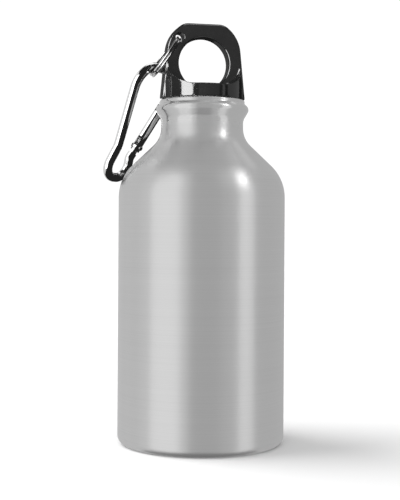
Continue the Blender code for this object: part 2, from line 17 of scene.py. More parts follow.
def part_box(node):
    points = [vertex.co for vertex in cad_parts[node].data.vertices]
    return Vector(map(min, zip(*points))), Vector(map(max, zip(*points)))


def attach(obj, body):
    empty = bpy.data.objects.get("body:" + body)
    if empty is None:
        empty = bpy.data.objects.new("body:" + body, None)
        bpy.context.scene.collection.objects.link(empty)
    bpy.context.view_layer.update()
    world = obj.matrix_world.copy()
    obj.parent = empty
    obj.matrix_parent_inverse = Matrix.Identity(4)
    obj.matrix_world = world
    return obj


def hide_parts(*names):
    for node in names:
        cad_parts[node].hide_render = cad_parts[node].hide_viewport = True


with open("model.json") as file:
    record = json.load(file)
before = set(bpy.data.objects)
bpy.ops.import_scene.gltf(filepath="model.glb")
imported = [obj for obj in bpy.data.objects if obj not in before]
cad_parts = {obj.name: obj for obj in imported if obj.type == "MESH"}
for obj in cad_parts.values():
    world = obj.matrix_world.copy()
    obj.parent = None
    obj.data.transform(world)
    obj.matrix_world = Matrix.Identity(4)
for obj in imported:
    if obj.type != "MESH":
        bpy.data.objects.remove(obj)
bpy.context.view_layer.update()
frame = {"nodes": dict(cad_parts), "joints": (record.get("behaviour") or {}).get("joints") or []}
joints = {joint["name"]: joint for joint in frame["joints"]}

# %% [markdown]
# ## One small class for node maths
#
# Every finish below is made of nodes. Wiring them by hand hides the idea under the plumbing, so a
# socket is wrapped in a class that knows plus, minus, times and divide. An expression such as
# `1 - mask * 0.3` then adds its own Math nodes. `Tree.add` makes any other node.


# %% Sockets that understand arithmetic
class Value:
    """An output socket. Arithmetic on it adds Math nodes to its tree."""

    def __init__(self, tree, socket):
        self.tree, self.socket = tree, socket

    def out(self, name):
        return Value(self.tree, self.socket.node.outputs[name])

    def _maths(self, operation, first, second):
        return self.tree.add("ShaderNodeMath", {"operation": operation}, {0: first, 1: second})

    def __add__(self, other):
        return self._maths("ADD", self, other)

    def __sub__(self, other):
        return self._maths("SUBTRACT", self, other)

    def __rsub__(self, other):
        return self._maths("SUBTRACT", other, self)

    def __mul__(self, other):
        return self._maths("MULTIPLY", self, other)

    def __truediv__(self, other):
        return self._maths("DIVIDE", self, other)

    __radd__, __rmul__ = __add__, __mul__


class Tree:
    """A node tree of a material, the world or a Geometry Nodes group."""

    def __init__(self, nodes):
        self.nodes = nodes

    def add(self, kind, settings=None, inputs=None, output=0):
        """A node of any kind. Its settings are set first, then its sockets are filled or linked."""
        node = self.nodes.nodes.new(kind)
        for name, value in (settings or {}).items():
            if name != "stops":
                setattr(node, name, value)
                continue
            ramp = node.color_ramp.elements
            while len(ramp) < len(value):
                ramp.new(0.5)
            for element, (place, shade) in zip(ramp, value):
                element.position = place
                element.color = (shade, shade, shade, 1.0)
        for key, value in (inputs or {}).items():
            if isinstance(value, Value):
                self.nodes.links.new(value.socket, node.inputs[key])
            else:
                node.inputs[key].default_value = value
        return Value(self, node.outputs[output])


# %% [markdown]
# ## A finish, and the noise that most finishes share
#
# A real finish is never one flat value. Metal carries the marks of the tool that made it, and
# moulded plastic keeps the faint waves of its mould. Each finish here starts from a Principled
# BSDF with its constant values set on the sockets, and noise then varies the colour, the
# roughness and the bump. Noise reads Object coordinates, which are metres in the frame, so a
# scale of 1000 gives marks about a millimetre long.


# %% Starting a finish
def new_finish(name, colour, **constants):
    """A material and its tree, with constant values set straight on the shader's sockets."""
    made = bpy.data.materials.new(name)
    made.use_nodes = True
    tree = Tree(made.node_tree)
    shader = made.node_tree.nodes["Principled BSDF"]
    shader.inputs["Base Color"].default_value = (*colour, 1.0)
    for socket, value in constants.items():
        shader.inputs[socket.replace("_", " ")].default_value = value
    return made, tree, shader


def place(tree):
    """Object coordinates, in metres."""
    return tree.add("ShaderNodeTexCoord", output="Object")


def noise(tree, stretch, detail=2.0, roughness=0.5):
    """Noise about 0.5, its scale given along each axis in marks per metre."""
    where = tree.add("ShaderNodeMapping", None, {"Vector": place(tree), "Scale": stretch})
    return tree.add(
        "ShaderNodeTexNoise",
        {"noise_dimensions": "3D"},
        {"Vector": where, "Scale": 1.0, "Detail": detail, "Roughness": roughness},
        "Fac",
    )


def feed(tree, shader, socket, value):
    tree.nodes.links.new(value.socket, shader.inputs[socket])


def grey(tree, value):
    """A value as a grey colour, for Base Color."""
    return tree.add("ShaderNodeCombineColor", None, {0: value, 1: value, 2: value})


def bump(tree, shader, height, depth):
    """Feeds Normal with a relief whose height is given in metres for a value of one."""
    relief = tree.add(
        "ShaderNodeBump", None, {"Height": height, "Distance": depth, "Strength": 1.0}, "Normal"
    )
    feed(tree, shader, "Normal", relief)


# %% [markdown]
# ## Three Geometry Nodes trees
#
# Most of the pieces follow a rule: a profile turned about the bottle's axis, or a round wire that
# follows a path. Both could be made with a Screw modifier and a bevelled curve. Geometry Nodes do
# the same with named inputs, so one tree serves many pieces and the numbers can be changed later.
# Each tree ends in Realize Instances and Set Material, and its result is kept as a plain mesh.


# %% Making and running a tree
def new_tree(name, sockets):
    """A Geometry Nodes group with named inputs. Returns it with a function that reads an input."""
    group = bpy.data.node_groups.new(name, "GeometryNodeTree")
    for label, kind in sockets.items():
        group.interface.new_socket(label, in_out="INPUT", socket_type="NodeSocket" + kind)
    group.interface.new_socket("Geometry", in_out="OUTPUT", socket_type="NodeSocketGeometry")
    tree = Tree(group)
    source = tree.add("NodeGroupInput")
    return tree, source.out


def close_tree(tree, geometry, finish):
    """Smooth shading, real geometry and the finish: the last nodes of each tree."""
    smooth = tree.add("GeometryNodeSetShadeSmooth", None, {"Geometry": geometry})
    real = tree.add("GeometryNodeRealizeInstances", None, {"Geometry": smooth})
    painted = tree.add("GeometryNodeSetMaterial", None, {"Geometry": real, "Material": finish})
    ending = tree.nodes.nodes.new("NodeGroupOutput")
    tree.nodes.links.new(painted.socket, ending.inputs[0])
    return tree.nodes


def line_mesh(name, points):
    """A mesh of edges only, which the trees read as a profile or a path."""
    mesh = bpy.data.meshes.new(name)
    mesh.from_pydata([tuple(p) for p in points], [(k, k + 1) for k in range(len(points) - 1)], [])
    return mesh


def run_tree(name, group, points, **values):
    """Runs a tree on a line of points and returns the result as a plain mesh object."""
    carrier = bpy.data.objects.new(name, line_mesh(name, points))
    bpy.context.scene.collection.objects.link(carrier)
    modifier = carrier.modifiers.new("nodes", "NODES")
    modifier.node_group = group
    for item in group.interface.items_tree:
        if item.in_out == "INPUT" and item.name in values:
            modifier[item.identifier] = values[item.name]
    graph = bpy.context.evaluated_depsgraph_get()
    mesh = bpy.data.meshes.new_from_object(carrier.evaluated_get(graph))
    bpy.data.objects.remove(carrier)
    bm = bmesh.new()
    bm.from_mesh(mesh)
    bmesh.ops.remove_doubles(bm, verts=bm.verts, dist=1e-7)
    bmesh.ops.recalc_face_normals(bm, faces=bm.faces)
    bm.to_mesh(mesh)
    bm.free()
    return new_object(name, mesh)


def new_object(name, mesh):
    mesh.set_sharp_from_angle(angle=radians(32.0))
    made = bpy.data.objects.new(name, mesh)
    bpy.context.scene.collection.objects.link(made)
    return made


# %% Tree 1: a profile turned about Z
def turning_tree():
    tree, given = new_tree(
        "turned_profile", {"Profile": "Geometry", "Sides": "Int", "Finish": "Material"}
    )
    count = tree.add(
        "GeometryNodeAttributeDomainSize", {"component": "MESH"}, {"Geometry": given("Profile")}
    )
    columns = given("Sides") + 1
    grid = tree.add("GeometryNodeMeshGrid", None, {"Vertices X": count, "Vertices Y": columns})
    index = tree.add("GeometryNodeInputIndex")
    row = tree.add("ShaderNodeMath", {"operation": "FLOOR"}, {0: (index + 0.5) / columns})
    angle = (index - row * columns) / given("Sides") * (2 * pi)
    point = tree.add(
        "GeometryNodeSampleIndex",
        {"data_type": "FLOAT_VECTOR", "domain": "POINT"},
        {
            "Geometry": given("Profile"),
            "Value": tree.add("GeometryNodeInputPosition"),
            "Index": row,
        },
    )
    parts = tree.add("ShaderNodeSeparateXYZ", None, {0: point})
    cosine = tree.add("ShaderNodeMath", {"operation": "COSINE"}, {0: angle})
    sine = tree.add("ShaderNodeMath", {"operation": "SINE"}, {0: angle})
    turned_point = tree.add(
        "ShaderNodeCombineXYZ", None, {0: parts * cosine, 1: parts * sine, 2: parts.out("Z")}
    )
    moved = tree.add("GeometryNodeSetPosition", None, {"Geometry": grid, "Position": turned_point})
    closed = tree.add("GeometryNodeMergeByDistance", None, {"Geometry": moved, "Distance": 1e-6})
    return close_tree(tree, closed, given("Finish"))


turning = turning_tree()
print("turning tree:", len(turning.nodes), "nodes")


# %% Tree 2: a round rod along a path
def rod_tree():
    tree, given = new_tree(
        "round_rod", {"Path": "Geometry", "Radius": "Float", "Sides": "Int", "Finish": "Material"}
    )
    curve = tree.add("GeometryNodeMeshToCurve", None, {0: given("Path")})
    circle = tree.add(
        "GeometryNodeCurvePrimitiveCircle",
        None,
        {"Radius": given("Radius"), "Resolution": given("Sides")},
    )
    rod = tree.add(
        "GeometryNodeCurveToMesh", None, {"Curve": curve, "Profile Curve": circle, "Fill Caps": True}
    )
    return close_tree(tree, rod, given("Finish"))


rods = rod_tree()
print("rod tree:", len(rods.nodes), "nodes")


# %% Tree 3: a thread ridge wound round the axis
def thread_tree():
    tree, given = new_tree(
        "thread_ridge",
        {
            "Radius": "Float",
            "Reach": "Float",
            "Foot": "Float",
            "Crest": "Float",
            "Lead": "Float",
            "Turns": "Float",
            "Finish": "Material",
        },
    )
    helix = tree.add(
        "GeometryNodeCurveSpiral",
        None,
        {
            "Resolution": 72,
            "Rotations": given("Turns"),
            "Start Radius": given("Radius"),
            "End Radius": given("Radius"),
            "Height": given("Lead") * given("Turns"),
        },
    )
    level = tree.add("GeometryNodeSetCurveNormal", {"mode": "Z_UP"}, {"Curve": helix})
    side = tree.add("GeometryNodeSplineParameter")
    from_end = tree.add(
        "ShaderNodeMath", {"operation": "MINIMUM"}, {0: side * given("Turns"), 1: (1 - side) * given("Turns")}
    )
    fade = tree.add("ShaderNodeMath", {"operation": "MINIMUM"}, {0: from_end * 5.0 + 0.3, 1: 1.0})
    shape = tree.add(
        "GeometryNodeCurvePrimitiveQuadrilateral",
        {"mode": "TRAPEZOID"},
        {
            "Height": given("Reach"),
            "Bottom Width": given("Foot"),
            "Top Width": given("Crest"),
            "Offset": 0.0,
        },
    )
    turned_shape = tree.add(
        "GeometryNodeTransform",
        None,
        {"Geometry": shape, "Rotation": (0.0, 0.0, pi / 2)},
    )
    thread = tree.add(
        "GeometryNodeCurveToMesh",
        None,
        {"Curve": level, "Profile Curve": turned_shape, "Scale": fade, "Fill Caps": True},
    )
    return close_tree(tree, thread, given("Finish"))


threads = thread_tree()
print("thread tree:", len(threads.nodes), "nodes")

# %% [markdown]
# ## Profiles with rounded corners
#
# A drawn or turned profile is a chain of straight runs joined by bends. It is easiest to describe
# by its sharp corners with a radius for each, as a drawing does. The function walks the corners
# and lays points round each bend, close enough together for the flat spots not to show.


# %% Rounding a chain of corners
def bend(before, corner, after, radius):
    """Where a bend at a corner starts, its centre, and the angle that it turns through."""
    here = Vector(corner)
    back = (Vector(before) - here).normalized()
    ahead = (Vector(after) - here).normalized()
    half = acos(max(-1.0, min(1.0, back.dot(ahead)))) / 2
    start = here + back * (radius / tan(half))
    centre = here + (back + ahead).normalized() * (radius / sin(half))
    turn = pi - 2 * half
    return start, centre, turn if back.cross(ahead) < 0 else -turn


def rounded(corners, sag=0.000008, longest=None):
    """Points along corners given as (x, y, radius). Long straight runs can be divided."""
    points = []
    for i, (x, y, radius) in enumerate(corners):
        if radius == 0:
            found = [Vector((x, y))]
        else:
            start, centre, turn = bend(corners[i - 1][:2], (x, y), corners[i + 1][:2], radius)
            steps = max(2, ceil(abs(turn) / (2 * acos(max(0.0, 1 - sag / radius)))))
            found = [
                centre + Matrix.Rotation(turn * k / steps, 2) @ (start - centre)
                for k in range(steps + 1)
            ]
        if longest and points:
            run = found[0] - points[-1]
            extra = int(run.length / longest)
            points += [points[-1] + run * (k / (extra + 1)) for k in range(1, extra + 1)]
        points += found
    return points


def profile(points):
    """Profile points (radius, height) as places in the XZ plane."""
    return [(p[0], 0.0, p[1]) for p in points]


# %% [markdown]
# ## Brushed aluminium
#
# The bottle is spun against an abrasive, which leaves fine marks round its axis. Light then
# spreads up and down but hardly sideways, so each lamp shows as a soft upright band. That is what
# the Anisotropic value does: with nothing linked to Tangent it runs round the object's Z axis.
# The neck and the bead are pressed after brushing, so they are smoother. Noise stretched round
# the axis gives the marks, in three sizes, and a slow patchy one gives the traces of hands.

# %% Sizes of the bottle
_, body_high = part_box("bottle_body")
body_radius = body_high.x
lip_top = body_high.z
shell_wall = 0.0009
base_fillet = 0.0034
base_recess = 0.0008
foot_width = 0.0040
shoulder_start = 0.10025
shoulder_slope = radians(46.2)
shoulder_radius = 0.0180
neck_fillet = 0.0100
neck_radius = 0.0168
bead_radius = 0.01945
lip_radius = 0.01735
lip_height = 0.0015
half_slope = tan(shoulder_slope / 2)
shoulder_corner = shoulder_start + shoulder_radius * half_slope
neck_corner = shoulder_corner + (body_radius - neck_radius) / tan(shoulder_slope)
lip_foot = lip_top - lip_height
bead_height = lip_foot - 0.0019
neck_top = bead_height - 0.0049
neck_bore = neck_radius - shell_wall
print("neck from", round(1000 * neck_corner, 1), "to", round(1000 * neck_top, 1), "mm")


# %% The finish of the bottle
def brushed_aluminium():
    made, tree, shader = new_finish(
        "brushed_aluminium",
        (0.80, 0.80, 0.805),
        Metallic=1.0,
        Roughness=0.34,
        Anisotropic=0.75,
        Anisotropic_Rotation=0.25,
    )
    hair = noise(tree, (14.0, 14.0, 9000.0), 3.0, 0.6)
    lines = noise(tree, (9.0, 9.0, 2600.0), 2.0, 0.55)
    waves = noise(tree, (5.0, 5.0, 240.0), 2.0)
    hands = noise(tree, (38.0, 38.0, 30.0), 4.0, 0.6)
    height = tree.add("ShaderNodeSeparateXYZ", None, {0: place(tree)}, "Z")
    pressed = tree.add(
        "ShaderNodeMapRange",
        {"interpolation_type": "SMOOTHSTEP"},
        {0: height, 1: neck_top - 0.0030, 2: neck_top - 0.0005, 3: 0.0, 4: 1.0},
    )
    brushed = 1 - pressed
    tone = 0.80 + (hair - 0.5) * 0.10 * brushed + (lines - 0.5) * 0.045 * brushed
    tone = tone + (waves - 0.5) * 0.03 + (hands - 0.5) * 0.03
    feed(tree, shader, "Base Color", grey(tree, tone))
    rough = 0.33 + (hair - 0.5) * 0.16 + (hands - 0.5) * 0.10 - 0.09 * pressed
    feed(tree, shader, "Roughness", rough)
    relief = (hair * 0.5 + lines * 0.8) * brushed + waves * 0.4 + hands * 0.3
    bump(tree, shader, relief, 0.000012)
    return made


bottle_finish = brushed_aluminium()

# %% [markdown]
# ## The bottle
#
# A press draws the can from a disc, then rollers neck it in and curl the bead, so its wall is thin
# and about even. One closed profile, outside and inside, is turned about the axis. It could be
# drawn with the Screw modifier too, but the turning tree closes its own seam.


# %% Turning the bottle
def bottle_profile():
    wall = shell_wall
    shift = wall * half_slope
    foot = body_radius - base_fillet - foot_width
    outside = rounded(
        [
            (0.0, base_recess, 0.0),
            (foot, base_recess, 0.0010),
            (foot + 0.0012, 0.0, 0.0008),
            (body_radius, 0.0, base_fillet - 0.0001),
            (body_radius, shoulder_corner, shoulder_radius),
            (neck_radius, neck_corner, neck_fillet),
            (neck_radius, neck_top + 0.0002, 0.0045),
            (bead_radius + 0.0001, bead_height, 0.0021),
            (lip_radius, lip_foot, 0.0010),
            (lip_radius, lip_top, 0.0006),
            (neck_bore + 0.0003, lip_top, 0.0),
        ],
        longest=0.004,
    )
    inside = rounded(
        [
            (neck_bore, lip_top - 0.0003, 0.0),
            (neck_bore, lip_foot + 0.0003, 0.0003),
            (bead_radius - 0.0014, bead_height + 0.0001, 0.0009),
            (neck_bore, neck_top + 0.0003, 0.0003),
            (neck_bore, neck_corner - shift, neck_fillet + wall),
            (body_radius - wall, shoulder_corner - shift, shoulder_radius - wall),
            (body_radius - wall, base_recess + wall, base_fillet - wall),
            (0.0, base_recess + wall, 0.0),
        ],
        longest=0.008,
    )
    return profile(outside + inside)


bottle = run_tree(
    "bottle_shell", turning, bottle_profile(), Sides=180, Finish=bottle_finish
)
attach(bottle, "bottle")
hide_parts("bottle_body")
# The bright metal hangs close to the pale side of the bottle and would reflect it as a grey veil.
bottle.visible_glossy = False
print("bottle:", len(bottle.data.polygons), "faces")

# %% [markdown]
# ## Cutting and joining
#
# The moulded cap and the machined gate are made as they are thought of: a simple body, with other
# simple bodies added and taken away. A Boolean modifier does each step and is applied at once.


# %% Booleans, prisms and rods
def combine(target, other, operation):
    """A Boolean that is applied at once. The other object is used up."""
    modifier = target.modifiers.new(operation.title(), "BOOLEAN")
    modifier.operation = operation
    modifier.solver = "EXACT"
    modifier.object = other
    apply_modifiers(target)
    bpy.data.objects.remove(other, do_unlink=True)


def apply_modifiers(target):
    graph = bpy.context.evaluated_depsgraph_get()
    result = bpy.data.meshes.new_from_object(target.evaluated_get(graph))
    target.modifiers.clear()
    target.data = result
    target.data.shade_smooth()
    target.data.set_sharp_from_angle(angle=radians(32.0))


def from_bmesh(name, bm, finish=None):
    bmesh.ops.recalc_face_normals(bm, faces=bm.faces)
    mesh = bpy.data.meshes.new(name)
    bm.to_mesh(mesh)
    bm.free()
    mesh.shade_smooth()
    if finish:
        mesh.materials.append(finish)
    return new_object(name, mesh)


def prism(name, outline, start, end, rounding=0.0, rounded_ends=(True, True), finish=None):
    """An outline in X and Z, pushed along Y. Its end edges can be rounded."""
    bm = bmesh.new()
    face = bm.faces.new([bm.verts.new((p[0], start, p[1])) for p in outline])
    pushed = bmesh.ops.extrude_face_region(bm, geom=[face])["geom"]
    moved = [v for v in pushed if isinstance(v, bmesh.types.BMVert)]
    bmesh.ops.translate(bm, verts=moved, vec=(0.0, end - start, 0.0))
    levels = [y for y, wanted in zip((start, end), rounded_ends) if wanted and rounding]
    edges = [
        e for e in bm.edges if any(all(abs(v.co.y - y) < 1e-7 for v in e.verts) for y in levels)
    ]
    if edges:
        bmesh.ops.recalc_face_normals(bm, faces=bm.faces)
        bmesh.ops.bevel(
            bm, geom=edges, offset=rounding, segments=6, profile=0.5, affect="EDGES", clamp_overlap=True
        )
    return from_bmesh(name, bm, finish)


def rod(name, radius, start, end, finish=None, sides=32, rounding=0.0):
    """A round bar between two points, its end edges rounded if asked."""
    start, end = Vector(start), Vector(end)
    bm = bmesh.new()
    bmesh.ops.create_cone(
        bm, cap_ends=True, segments=sides, radius1=radius, radius2=radius, depth=(end - start).length
    )
    if rounding:
        rims = [e for e in bm.edges if abs(e.verts[0].co.z - e.verts[1].co.z) < 1e-9]
        bmesh.ops.bevel(bm, geom=rims, offset=rounding, segments=4, profile=0.5, affect="EDGES")
    turn = Vector((0, 0, 1)).rotation_difference(end - start).to_matrix().to_4x4()
    bm.transform(Matrix.Translation((start + end) / 2) @ turn)
    return from_bmesh(name, bm, finish)


def block(name, low, high):
    bm = bmesh.new()
    bmesh.ops.create_cube(bm, size=1.0)
    bmesh.ops.scale(bm, verts=bm.verts, vec=Vector(high) - Vector(low))
    bmesh.ops.translate(bm, verts=bm.verts, vec=(Vector(high) + Vector(low)) / 2)
    return from_bmesh(name, bm)


# %% [markdown]
# ## The threaded insert
#
# The wall of the neck is too thin to carry a thread, so a turned ring is held in it by the rolled
# bead. It shows only when the cap is off. The thread tree winds its ridge, and a Boolean joins the
# ridge to the ring, so the piece is one clean solid.

# %% Sizes of the thread
thread_lead = 0.0050
thread_radius = 0.0126
thread_overlap = 0.0008
ridge_foot, ridge_crest = 0.0018, 0.0009
thread_turns = 1.6
plug_from, plug_to = 0.3, 1.8
insert_wall = 0.0022
insert_low, insert_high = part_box("neck_thread_insert")
insert_bore = thread_radius + thread_overlap
plug_radius = thread_radius - thread_overlap
thread_start = insert_high.z - 0.0014 - ridge_foot / 2 - thread_lead * thread_turns


def ridge(name, foot_radius, tip_radius, start_height, first, last):
    """A ridge wound from one turn count to another, its foot inside the wall behind it."""
    reach = tip_radius - foot_radius
    inward = reach < 0
    made = run_tree(
        name,
        threads,
        [(0, 0, 0), (0, 0, 0.001)],
        Radius=foot_radius + reach / 2,
        Reach=abs(reach),
        Foot=ridge_crest if inward else ridge_foot,
        Crest=ridge_foot if inward else ridge_crest,
        Lead=thread_lead,
        Turns=last - first,
    )
    turn = Matrix.Rotation(2 * pi * first, 4, "Z")
    made.data.transform(
        Matrix.Translation((0, 0, start_height + thread_lead * first)) @ turn
    )
    return made


# %% Turned aluminium and the insert
def turned_metal(name, tone, rough):
    made, tree, shader = new_finish(
        name, (tone, tone, tone), Metallic=1.0, Roughness=rough, Anisotropic=0.5
    )
    rings = noise(tree, (10.0, 10.0, 7000.0), 2.0, 0.6)
    cloud = noise(tree, (120.0, 120.0, 120.0), 3.0)
    feed(tree, shader, "Base Color", grey(tree, tone + (rings - 0.5) * 0.12 + (cloud - 0.5) * 0.06))
    feed(tree, shader, "Roughness", rough + (rings - 0.5) * 0.12 + (cloud - 0.5) * 0.08)
    bump(tree, shader, rings, 0.000006)
    return made


def make_insert(finish):
    bottom, top = insert_low.z, insert_high.z
    outer = neck_bore - 0.0003
    rib = insert_high.x
    ring = rounded(
        [
            (insert_bore + 0.0004, bottom, 0.0),
            (outer - 0.0004, bottom, 0.0),
            (outer, bottom + 0.0004, 0.0),
            (outer, neck_top + 0.0011, 0.0002),
            (rib, bead_height - 0.0004, 0.0002),
            (rib, bead_height + 0.0003, 0.0002),
            (outer, lip_foot - 0.0003, 0.0002),
            (outer, top - 0.0002, 0.0),
            (outer - 0.0002, top, 0.0),
            (insert_bore + 0.0004, top, 0.0),
            (insert_bore, top - 0.0004, 0.0),
            (insert_bore, bottom + 0.0008, 0.0),
            (insert_bore + 0.0004, bottom, 0.0),
        ]
    )
    made = run_tree("thread_insert", turning, profile(ring), Sides=144, Finish=finish)
    tip = thread_radius - thread_overlap / 2
    wound = ridge("female", insert_bore + insert_wall / 4, tip, thread_start, 0.0, thread_turns)
    combine(made, wound, "UNION")
    return made


insert = make_insert(turned_metal("turned_aluminium", 0.66, 0.26))
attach(insert, "bottle")
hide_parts("neck_thread_insert")
print("insert:", len(insert.data.polygons), "faces", [round(1000 * v, 2) for v in insert.dimensions])

# %% [markdown]
# ## The gasket
#
# A flat ring of clear silicone sits under the skirt and seals on the insert. It is turned from a
# rectangle with soft corners. Silicone is dull and lets a little light through, so its colour
# varies softly and its surface is never sharp.

# %% The gasket
gasket_low, gasket_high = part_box("cap_gasket")


def silicone():
    made, tree, shader = new_finish(
        "clear_silicone",
        (0.78, 0.78, 0.75),
        Roughness=0.45,
        Subsurface_Weight=0.3,
        Subsurface_Scale=0.002,
        Subsurface_Radius=(1.0, 1.0, 1.0),
    )
    cloud = noise(tree, (300.0, 300.0, 300.0), 3.0)
    feed(tree, shader, "Base Color", grey(tree, 0.70 + cloud * 0.12))
    feed(tree, shader, "Roughness", 0.38 + cloud * 0.16)
    return made


def make_gasket(finish):
    inner = plug_radius + 0.0003
    outer, low, high = gasket_high.x, gasket_low.z, gasket_high.z
    soft = 0.0003
    ring = rounded(
        [
            (inner, (low + high) / 2, 0.0),
            (inner, low, soft),
            (outer, low, soft),
            (outer, high, soft),
            (inner, high, soft),
            (inner, (low + high) / 2, 0.0),
        ]
    )
    return run_tree("sealing_ring", turning, profile(ring), Sides=144, Finish=finish)


gasket = make_gasket(silicone())
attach(gasket, "seal")
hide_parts("cap_gasket")
print("gasket:", len(gasket.data.polygons), "faces")

# %% [markdown]
# ## The cap
#
# The cap is one moulding: a hollow plug with the thread, a short skirt, and an upright plate with
# a finger hole, which two deep scoops leave standing between the horns of the skirt. It is built
# from those bodies with Booleans. A moulding has no sharp edge anywhere, and bevels on the result
# of Booleans are unreliable, so the whole solid is turned into fine voxels and smoothed. That
# rounds every edge and every joint by about the same small radius, as the mould does.

# %% Sizes of the cap
cap_low, cap_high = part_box("cap")
cap_bottom = lip_top + 0.0003
plug_wall = 0.0022
skirt_radius = 0.0163
skirt_height = 0.0053
plate_thickness = 0.0066
plate_foot_half = 0.0174
plate_lean = radians(5.6)
plate_corner = 0.0140
plate_flat_half = 0.0080
plate_edge = 0.0009
scoop_half = 0.0155
scoop_corner = 0.0090
scoop_fillet = 0.0018
finger_hole_radius = 0.01045
finger_hole_top_wall = 0.0058
rim_round = 0.0009
ring_hole_radius = 0.0018
ring_hole_rim = 0.0003
ring_hole_x = 0.0101
ring_hole_drop = 0.0060
cap_yaw = radians(13.0)
plate_top = cap_high.z
ledge = cap_bottom + skirt_height
cap_turn = Matrix.Rotation(cap_yaw, 4, "Z")
ring_hole = Vector(joints["ring_swing"]["pos_m"])
print("cap from", round(1000 * cap_low.z, 1), "to", round(1000 * plate_top, 1), "mm")


# %% The plate's outline and the cutters
def plate_outline():
    """Sides that lean in, big round corners, and a flat top that cuts them."""
    lean, radius = plate_lean, plate_corner
    foot = Vector((plate_foot_half - radius * cos(lean), cap_bottom - radius * sin(lean)))
    upwards = Vector((-sin(lean), cos(lean)))
    flat_end = Vector((plate_flat_half, plate_top))
    away = foot - flat_end
    along = away.dot(upwards)
    rise = -along - sqrt(along * along - away.length_squared + radius * radius)
    centre = foot + rise * upwards
    top_angle = atan2(flat_end.y - centre.y, flat_end.x - centre.x)
    side = [Vector((plate_foot_half, cap_bottom + 0.0002))]
    for k in range(33):
        a = lean + (top_angle - lean) * k / 32
        side.append(centre + radius * Vector((cos(a), sin(a))))
    corner, inwards = side[-1], Vector((-0.0016, 0.0))
    side = [p for p in side if (p - corner).length > 0.0016]
    start = side[-1]
    for k in range(1, 9):
        t = k / 8
        side.append((1 - t) ** 2 * start + 2 * t * (1 - t) * corner + t * t * (corner + inwards))
    return side + [Vector((-p.x, p.y)) for p in reversed(side)]


def hole_cutter(name, radius, flare, height, across, sides=128):
    """A cutter through the plate whose ends flare, so that the rims come out round."""
    half, far = plate_thickness / 2, 0.025
    arc = [pi / 2 * k / 8 for k in range(9)]
    near = [(radius + flare * (1 - sin(a)), -half + flare * (1 - cos(a))) for a in arc]
    line = [(0.0, -far), (radius + flare, -far), *near]
    line += [(r, -z) for r, z in reversed(line)]
    cutter = run_tree(name, turning, profile(line), Sides=sides)
    cutter.data.transform(Matrix.Translation((across, 0.0, height)) @ Matrix.Rotation(pi / 2, 4, "X"))
    return cutter


def scoop(name, side):
    """What is cut away in front of the plate, or behind it: a deep U with a filleted foot."""
    top, near = plate_top + 0.0100, plate_thickness / 2 - 0.0002
    outline = rounded(
        [
            (scoop_half, top, 0.0),
            (scoop_half, ledge, scoop_corner),
            (-scoop_half, ledge, scoop_corner),
            (-scoop_half, top, 0.0),
        ]
    )
    return prism(name, outline, side * near, side * (near + 0.03), scoop_fillet, (True, False))


# %% Building the cap
def cap_body():
    bore, ceiling = plug_radius - plug_wall, gasket_high.z + 0.0003
    skirt_top = ledge + scoop_corner + 0.0010
    seat = gasket_high.x + 0.0003
    line = [
        (bore, cap_low.z),
        (plug_radius - 0.0004, cap_low.z),
        (plug_radius, cap_low.z + 0.0004),
        (plug_radius, ceiling),
        (seat, ceiling),
        (seat, cap_bottom),
        (skirt_radius, cap_bottom),
        (skirt_radius, ledge + 0.0015),
        (skirt_radius - 0.0012, skirt_top),
        (0.0, skirt_top),
        (0.0, ceiling + 0.0006),
        (bore, ceiling + 0.0006),
        (bore, cap_low.z),
    ]
    return run_tree("moulded_cap", turning, profile(line), Sides=160), ceiling, seat


def make_cap(finish):
    cap, ceiling, seat = cap_body()
    for side in (1, -1):
        combine(cap, scoop("scoop", side), "DIFFERENCE")
    half = plate_thickness / 2
    plate = prism("plate", plate_outline(), -half, half, plate_edge)
    core = rod("core", seat + 0.0002, (0, 0, cap_bottom - 0.001), (0, 0, ceiling + 0.0008), sides=160)
    combine(plate, core, "DIFFERENCE")
    combine(cap, plate, "UNION")
    middle = plate_top - finger_hole_top_wall - finger_hole_radius
    finger = hole_cutter("finger", finger_hole_radius, rim_round, middle, 0.0)
    floor = block("floor", (-0.03, -0.03, cap_bottom - 0.01), (0.03, 0.03, ledge + 0.0001))
    combine(finger, floor, "DIFFERENCE")
    combine(cap, finger, "DIFFERENCE")
    drop = plate_top - ring_hole_drop
    small = hole_cutter("small", ring_hole_radius, ring_hole_rim, drop, -ring_hole_x, 48)
    combine(cap, small, "DIFFERENCE")
    tip = thread_radius + thread_overlap / 2
    start = thread_start + thread_lead * cap_yaw / (2 * pi) - 0.0016
    combine(cap, ridge("male", plug_radius - plug_wall / 4, tip, start, plug_from, plug_to), "UNION")
    cap.data.transform(cap_turn)
    voxels = cap.modifiers.new("voxels", "REMESH")
    voxels.mode = "VOXEL"
    voxels.voxel_size = 0.00028
    voxels.use_smooth_shade = True
    soften = cap.modifiers.new("soften", "SMOOTH")
    soften.factor = 0.5
    soften.iterations = 5
    apply_modifiers(cap)
    cap.data.materials.clear()
    cap.data.materials.append(finish)
    return cap


# %% [markdown]
# Black plastic shows almost only what it reflects. The mould is polished, but the surface still
# has a faint wave, tiny pits and fine scratches from use, and they are what makes the reflections
# of the lamps look real. The scratches are thin ridges of noise: the places where it crosses 0.5.


